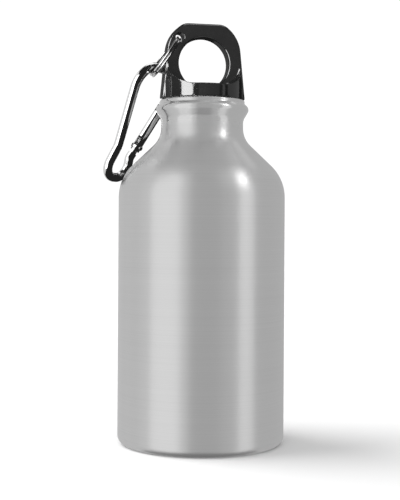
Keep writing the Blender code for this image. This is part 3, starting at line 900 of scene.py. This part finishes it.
# %% The finish of the cap
def black_plastic():
    made, tree, shader = new_finish(
        "black_plastic", (0.010, 0.010, 0.011), Roughness=0.13, IOR=1.6, Specular_IOR_Level=0.7
    )
    wave = noise(tree, (160.0, 160.0, 160.0), 2.0)
    grain = noise(tree, (2600.0, 2600.0, 2600.0), 2.0)
    across = noise(tree, (90.0, 700.0, 260.0), 4.0, 0.65)
    gap = tree.add("ShaderNodeMath", {"operation": "ABSOLUTE"}, {0: across - 0.5})
    scratch = tree.add(
        "ShaderNodeMapRange", {"clamp": True}, {0: gap, 1: 0.0, 2: 0.006, 3: 1.0, 4: 0.0}
    )
    feed(tree, shader, "Base Color", grey(tree, 0.008 + wave * 0.006 + scratch * 0.010))
    rough = 0.10 + (wave - 0.5) * 0.08 + (grain - 0.5) * 0.05 + scratch * 0.12
    feed(tree, shader, "Roughness", rough)
    bump(tree, shader, wave * 1.0 + grain * 0.06 - scratch * 0.10, 0.000020)
    return made


cap = make_cap(black_plastic())
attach(cap, "cap")
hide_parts("cap")
print("cap:", len(cap.data.polygons), "faces", [round(1000 * v, 2) for v in cap.dimensions])

# %% [markdown]
# ## The split ring
#
# A split ring is two turns of spring wire lying on each other. Near its free ends the wire steps
# from one turn to the other. The path is that rule written out, and the rod tree gives it its
# round section.

# %% The split ring's place and path
ring_radius, ring_wire, coil_gap = 0.0093, 0.0010, 0.0001
ring_lean, ring_twist, ring_rise = radians(35.3), radians(10.7), radians(3.3)
ring_out = Vector((-sin(ring_lean), 0.0, -cos(ring_lean)))
ring_along = Vector((-sin(ring_twist), cos(ring_twist), sin(ring_rise)))
ring_along = (ring_along - ring_along.dot(ring_out) * ring_out).normalized()
ring_centre = ring_hole + ring_out * ring_radius


def ring_path(count=260):
    shift = (ring_wire + coil_gap) / 2
    across = ring_out.cross(ring_along)
    step_half, seam = radians(24.0), radians(35.0)
    start, end = step_half, 4 * pi - step_half
    points = []
    for k in range(count + 1):
        a = start + (end - start) * k / count
        t = max(-1.0, min(1.0, (a - 2 * pi) / (step_half * 0.8)))
        side = t * (1.5 - 0.5 * t * t)
        spoke = ring_out * cos(a + seam) + ring_along * sin(a + seam)
        points.append(ring_centre + spoke * ring_radius + across * shift * side)
    return points


# %% [markdown]
# Nickel plate and polished aluminium are both mirror-like, so they share one recipe: a metal with
# low roughness, a slow wave that bends the reflections a little, fine marks of the polishing
# wheel, and small dull rubs that noise scatters where the pieces knock against each other.


# %% Bright metals
def bright_metal(name, tone, rough, rubs):
    made, tree, shader = new_finish(name, (tone, tone, tone * 1.01), Metallic=1.0, Roughness=rough)
    wave = noise(tree, (260.0, 260.0, 260.0), 2.0)
    marks = noise(tree, (1400.0, 2600.0, 900.0), 3.0, 0.6)
    patch = noise(tree, (520.0, 520.0, 520.0), 3.0, 0.6)
    rub = tree.add(
        "ShaderNodeMapRange", {"clamp": True}, {0: patch, 1: 0.56, 2: 0.70, 3: 0.0, 4: 1.0}
    )
    feed(tree, shader, "Base Color", grey(tree, tone - rub * 0.10 * rubs + (marks - 0.5) * 0.05))
    feed(tree, shader, "Roughness", rough + rub * 0.14 * rubs + (marks - 0.5) * 0.06)
    bump(tree, shader, wave * 0.8 + marks * 0.12 - rub * 0.15 * rubs, 0.000020)
    return made


nickel = bright_metal("nickel_plated_steel", 0.70, 0.17, 0.5)
split_ring = run_tree(
    "wire_ring", rods, ring_path(), Radius=ring_wire / 2, Sides=20, Finish=nickel
)
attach(split_ring, "ring")
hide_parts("split_ring")
print("ring:", len(split_ring.data.polygons), "faces")

# %% [markdown]
# ## The carabiner
#
# The frame is bent from polished rod: a wide bend that hangs on the ring, a long straight back, a
# kink, and a small foot that returns to the hinge. It lies in one flat plane, so its corners are
# listed in that plane and a matrix puts it in the world. The ends are flattened to tongues: one
# carries the gate's rivet, and the other is notched to catch the gate's cross pin.

# %% The carabiner's plane
rod_radius, gate_radius = 0.0019, 0.0020
hook_lean, hook_tilt, hook_turn = radians(19.6), radians(10.8), radians(59.1)
hang_angle, hang_clearance = radians(28.4), 0.0008
nose_corner, nose_bend = (0.0188, 0.0001), 0.0107
spine_corner, spine_bend = (-0.01075, 0.0001), 0.0096
kink, kink_bend = (-0.0078, -0.0350), 0.0040
heel_corner, toe_corner, heel_bend = (-0.0114, -0.0486), (0.0046, -0.0486), 0.0055
tail_corner, tail_bend = (0.0023, -0.0394), 0.0030
pivot = (0.0048, -0.0343)
gate_length = 0.0208
tongue_thickness, tongue_half = 0.0013, 0.0015
pin_radius, latch_pin_radius = 0.0006, 0.00045
catch_y = gate_length - 0.0014
gap = 0.0003


def hook_matrix():
    """The carabiner's plane: X across to the gate, Y up, Z its normal, from where it hangs."""
    spoke = ring_out * cos(hang_angle) + ring_along * sin(hang_angle)
    hang = ring_centre + spoke * (ring_radius - ring_wire / 2 - hang_clearance - rod_radius)
    up = Vector((sin(hook_lean) * cos(hook_tilt), -sin(hook_tilt), cos(hook_lean) * cos(hook_tilt)))
    level = Vector((cos(hook_lean), 0.0, -sin(hook_lean)))
    across = cos(hook_turn) * level + Vector((0.0, sin(hook_turn), 0.0))
    across = (across - across.dot(up) * up).normalized()
    turn = Matrix((across, up, across.cross(up))).transposed().to_4x4()
    return Matrix.Translation(hang) @ turn


hook = hook_matrix()
gate_run = Vector(nose_corner) - Vector(pivot)
gate_angle = atan2(gate_run.x, gate_run.y)
to_gate = Matrix.Translation((*pivot, 0.0)) @ Matrix.Rotation(-gate_angle, 4, "Z")
found = hook @ to_gate @ Vector((0, 0, 0)) - Vector(joints["gate_open"]["pos_m"])
print("the gate's pivot is", round(1000 * found.length, 4), "mm from its joint")


# %% Bending the frame and cutting its tongues
def frame_path():
    tip = Vector(pivot) + Vector((sin(gate_angle), cos(gate_angle))) * (gate_length + gap)
    tail = Vector(tail_corner) + (Vector(pivot) - Vector(tail_corner)).normalized() * 0.0023
    corners = [
        (tip.x, tip.y, 0.0),
        (*nose_corner, nose_bend),
        (*spine_corner, spine_bend),
        (*kink, kink_bend),
        (*heel_corner, heel_bend),
        (*toe_corner, heel_bend),
        (*tail_corner, tail_bend),
        (tail.x, tail.y, 0.0),
    ]
    return [(p.x, p.y, 0.0) for p in rounded(corners, sag=0.000004)]


def make_frame(finish):
    made = run_tree("hook_frame", rods, frame_path(), Radius=rod_radius, Sides=36, Finish=finish)
    thick = tongue_thickness / 2
    cheek = rod("cheek", tongue_half + 0.0002, (0, 0, -thick), (0, 0, thick))
    flat = block("flat", (-0.01, tongue_half, -0.01), (0.01, 0.01, 0.01))
    combine(cheek, flat, "DIFFERENCE")
    cheek.data.transform(to_gate)
    run = Vector(tail_corner) - Vector(pivot)
    strap = block("strap", (-tongue_half, 0.0, -thick), (tongue_half, run.length - 0.0008, thick))
    strap.data.transform(
        Matrix.Translation((*pivot, 0.0)) @ Matrix.Rotation(atan2(-run.x, run.y), 4, "Z")
    )
    latch_low = (-tongue_half, catch_y - 0.0017, -thick)
    latch_high = (tongue_half, gate_length + 0.0012, thick)
    latch = block("latch", latch_low, latch_high)
    seat = latch_pin_radius + gap
    notch = rod("notch", seat, (0, catch_y, -0.01), (0, catch_y, 0.01))
    way = block("way", (-0.01, catch_y - seat * 0.98, -0.01), (0.0, catch_y + seat * 0.98, 0.01))
    combine(latch, notch, "DIFFERENCE")
    combine(latch, way, "DIFFERENCE")
    latch.data.transform(to_gate)
    for piece in (cheek, strap, latch):
        combine(made, piece, "UNION")
    combine(made, rod("hole", pin_radius + gap, (*pivot, -0.01), (*pivot, 0.01)), "DIFFERENCE")
    made.data.transform(hook)
    return made


frame_finish = bright_metal("polished_aluminium", 0.80, 0.075, 1.0)
hook_frame = make_frame(frame_finish)
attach(hook_frame, "carabiner")
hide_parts("carabiner_frame")
print("frame:", len(hook_frame.data.polygons), "faces")

# %% [markdown]
# ## The gate
#
# The gate is a round bar, forked round the frame's tongue at one end and slotted at the other. A
# spring in its bore pushes a plunger against the tongue, and a slot on the inner side lets the
# gate swing in. The edges of its ends are broken, as a machined edge always is.


# %% Turning and slotting the gate
def make_gate(finish):
    bar = rod(
        "gate_bar",
        gate_radius,
        (0, -gate_radius, 0),
        (0, gate_length - gap, 0),
        finish,
        sides=40,
        rounding=0.00025,
    )
    slot = tongue_thickness / 2 + gap
    cutters = [
        block("fork", (-0.01, -0.01, -slot), (0.01, tongue_half + 0.0009, slot)),
        block("window", (-0.01, 0.0, -slot), (-gate_radius * 0.2, 0.0046, slot)),
        rod("bore", 0.0010, (0, 0, 0), (0, gate_length - 0.0062 + gap, 0)),
        rod("hole", pin_radius + gap, (0, 0, -0.01), (0, 0, 0.01)),
        block("tip", (-0.01, gate_length - 0.0036, -slot), (0.01, 0.05, slot)),
        rod("cross", latch_pin_radius + gap / 3, (0, catch_y, -0.01), (0, catch_y, 0.01)),
    ]
    for cutter in cutters:
        combine(bar, cutter, "DIFFERENCE")
    bar.data.transform(hook @ to_gate)
    return bar


gate = make_gate(bright_metal("polished_gate", 0.78, 0.085, 1.0))
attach(gate, "gate")
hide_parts("carabiner_gate")
print("gate:", len(gate.data.polygons), "faces")

# %% [markdown]
# ## The rivet, the cross pin, the plunger and the spring
#
# The rivet's two domed heads show, so it is turned again with a finer profile. The cross pin, the
# plunger and the spring are small and right as they stand, and only get a steel finish.


# %% The rivet
def make_rivet(finish):
    head, seat = 0.00105, gate_radius + gap / 2
    dome = seat + 0.0006
    half = rounded(
        [
            (0.0, dome, 0.0),
            (head * 0.62, dome - 0.00005, 0.0004),
            (head, seat + 0.00022, 0.00018),
            (head, seat, 0.0),
            (pin_radius, seat, 0.0),
        ],
        sag=0.000002,
    )
    line = [(p.x, -p.y) for p in half] + [(p.x, p.y) for p in reversed(half)]
    made = run_tree("rivet", turning, profile(line), Sides=48, Finish=finish)
    made.data.transform(hook @ to_gate)
    return made


rivet = make_rivet(bright_metal("rivet_steel", 0.55, 0.20, 1.0))
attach(rivet, "carabiner")
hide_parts("gate_hinge_pin")


# %% Steel for the small inner pieces
def repaint(node, finish):
    """Puts a finish on a piece that stays as it is in the frame."""
    piece = frame["nodes"][node]
    piece.data.materials.clear()
    piece.data.materials.append(finish)


repaint("latch_pin", bright_metal("latch_steel", 0.58, 0.20, 0.6))
repaint("gate_spring_plunger", bright_metal("plunger_steel", 0.50, 0.28, 0.6))
repaint("gate_spring", bright_metal("spring_steel", 0.45, 0.28, 0.6))

# %% [markdown]
# ## The studio
#
# The bottle stands on a pale table in a pale room. Four groups of lamps light four groups of
# pieces, each linked only to its own. Three suns with wide discs give the table its soft shadow.
# Large dim panels stand round the brushed bottle like a tent, so it never reflects a black hole.
# Strong, narrower softboxes give the black cap its contrast, and others the bright metal. This is
# not how light falls in a real room, where every lamp lights every piece. The table is hidden from
# reflections, so that the tent also reaches below it, and it throws no light on the other pieces.


# %% The table and the room
def white_table():
    made, tree, shader = new_finish("white_table", (0.90, 0.90, 0.90), Roughness=0.9)
    cloud = noise(tree, (3.0, 3.0, 3.0), 2.0)
    feed(tree, shader, "Base Color", grey(tree, 0.90 + (cloud - 0.5) * 0.01))
    return made


floor_mesh = bpy.data.meshes.new("table")
reach = 30.0  # half its side, in metres
corners = [(-reach, -reach, 0), (reach, -reach, 0), (reach, reach, 0), (-reach, reach, 0)]
floor_mesh.from_pydata(corners, [], [(0, 1, 2, 3)])
floor_mesh.materials.append(white_table())
table = bpy.data.objects.new("table", floor_mesh)
bpy.context.scene.collection.objects.link(table)
table.visible_glossy = False
table.visible_shadow = False
table.visible_diffuse = False

room = bpy.data.worlds.new("room")
bpy.context.scene.world = room
room.use_nodes = True
room_tree = Tree(room.node_tree)
seen = room_tree.add("ShaderNodeLightPath", output="Is Camera Ray")
background = room.node_tree.nodes["Background"]
room_dim, room_bright = 0.02, 1.05
room_tree.nodes.links.new(
    (room_dim + seen * (room_bright - room_dim)).socket, background.inputs["Strength"]
)
background.inputs["Color"].default_value = (1.0, 1.0, 1.0, 1.0)


# %% Lamps, and what each lights
def group(name, objects):
    made = bpy.data.collections.new(name)
    for obj in objects:
        made.objects.link(obj)
    return made


satin = group("satin_pieces", [bottle, insert])
black = group("black_pieces", [cap, gasket])
small_steel = [frame["nodes"][n] for n in ("latch_pin", "gate_spring_plunger", "gate_spring")]
chrome = group("chrome_pieces", [split_ring, hook_frame, gate, rivet, *small_steel])
ground = group("ground", [table])
aim = Vector((0.0, 0.0, 0.09))


def panel(name, azimuth, elevation, distance, width, height, radiance, lit):
    """A rectangular lamp that faces the bottle. Azimuth 0 is the camera's side, 90 the right."""
    a, e = radians(azimuth), radians(elevation)
    away = Vector((sin(a) * cos(e), -cos(a) * cos(e), sin(e)))
    data = bpy.data.lights.new(name, "AREA")
    data.shape = "RECTANGLE"
    data.size, data.size_y = width, height
    data.energy = radiance * pi * width * height
    lamp = bpy.data.objects.new(name, data)
    lamp.matrix_world = Matrix.Translation(aim + away * distance) @ (
        away.to_track_quat("Z", "Y").to_matrix().to_4x4()
    )
    bpy.context.scene.collection.objects.link(lamp)
    lamp.light_linking.receiver_collection = lit


def tent_panel(azimuth, spread, radiance):
    """A tall panel of the tent, as wide as the angle that it fills."""
    distance, height = 0.7, 1.7
    width = 2 * distance * tan(radians(spread / 2))
    panel(f"tent_{azimuth}", azimuth, 0, distance, width, height, radiance, satin)


# %% The tent round the brushed bottle
# Each panel is given as azimuth, spread and radiance. They meet almost edge to edge, because light
# adds up where two of them overlap.
tent = [
    (-150, 60, 0.55),
    (-105, 30, 0.56),
    (-81, 18, 0.60),
    (-50, 44, 0.83),
    (-22, 12, 0.60),
    (5, 42, 0.42),
    (40, 28, 0.46),
    (64, 22, 0.74),
    (97.5, 45, 0.46),
    (150, 60, 0.46),
]
for azimuth, spread, radiance in tent:
    tent_panel(azimuth, spread, radiance)
panel("tent_roof", 0, 90, 1.0, 1.6, 1.6, 0.42, satin)
panel("tent_floor", 0, -90, 1.0, 1.6, 1.6, 0.18, satin)
panel("spark", 67, 38, 0.7, 0.12, 0.20, 3.4, satin)

# %% Softboxes for the black and bright pieces
# A strong one at the front left makes the main highlight, and the others fill the other sides.
panel("cap_softbox", -44, 8, 0.7, 0.43, 0.9, 10.0, black)
panel("cap_strip", 64, 10, 0.7, 0.10, 0.8, 0.5, black)
panel("cap_back", -140, 10, 0.8, 0.9, 1.4, 0.10, black)
panel("cap_front", 20, 15, 1.2, 1.4, 1.4, 0.18, black)
panel("cap_right", 105, 10, 0.9, 0.9, 1.2, 0.35, black)
panel("cap_below", 0, -80, 0.6, 1.2, 1.2, 0.60, black)
panel("cap_above", 40, 66, 0.8, 0.5, 0.4, 3.0, black)
panel("chrome_softbox", -46, 8, 0.7, 0.52, 1.2, 3.0, chrome)
panel("chrome_left", -88, 8, 0.7, 0.62, 1.6, 0.80, chrome)
panel("chrome_back", -143, 10, 0.8, 1.0, 1.6, 0.70, chrome)
panel("chrome_above", 170, 62, 0.8, 0.5, 0.4, 1.2, chrome)


def sun(name, towards, energy, angle, lit):
    """A lamp so far away that only its direction matters. The wider its angle, the softer the shadow."""
    data = bpy.data.lights.new(name, "SUN")
    data.energy, data.angle = energy, radians(angle)
    lamp = bpy.data.objects.new(name, data)
    lamp.matrix_world = Vector(towards).to_track_quat("Z", "Y").to_matrix().to_4x4()
    bpy.context.scene.collection.objects.link(lamp)
    lamp.light_linking.receiver_collection = lit


# The sky leaves the table darker close to the foot. The sun at the left draws the shadow out to the
# right, and the one in front adds a fainter one behind the bottle.
sun("table_sky", (0.0, 0.0, 1.0), 1.75, 110, ground)
sun("table_side", (-0.75, 0.16, 0.68), 2.7, 60, ground)
sun("table_front", (0.10, -1.0, 0.80), 0.55, 60, ground)
print("lamps:", len(bpy.data.lights))

# %% [markdown]
# ## The camera
#
# The camera is level and a little above the middle of the bottle, close enough for the base to
# curve. The lens is shifted down to frame the bottle and not tilted, which keeps its sides upright.

# %% Placing the camera
camera_data = bpy.data.cameras.new("camera")
camera_data.sensor_width = 36.0
camera_data.lens = 80.06
camera_data.shift_x, camera_data.shift_y = -0.0032, -0.0574
camera_data.clip_start = 0.01
camera = bpy.data.objects.new("camera", camera_data)
camera_place = (0.0, -0.4566, 0.0905)
camera_roll = radians(-0.336)
camera.matrix_world = (
    Matrix.Translation(camera_place)
    @ Matrix.Rotation(camera_roll, 4, "Y")
    @ Matrix.Rotation(radians(90), 4, "X")
)
bpy.context.scene.collection.objects.link(camera)
bpy.context.scene.camera = camera
bpy.context.scene.view_settings.view_transform = "Standard"
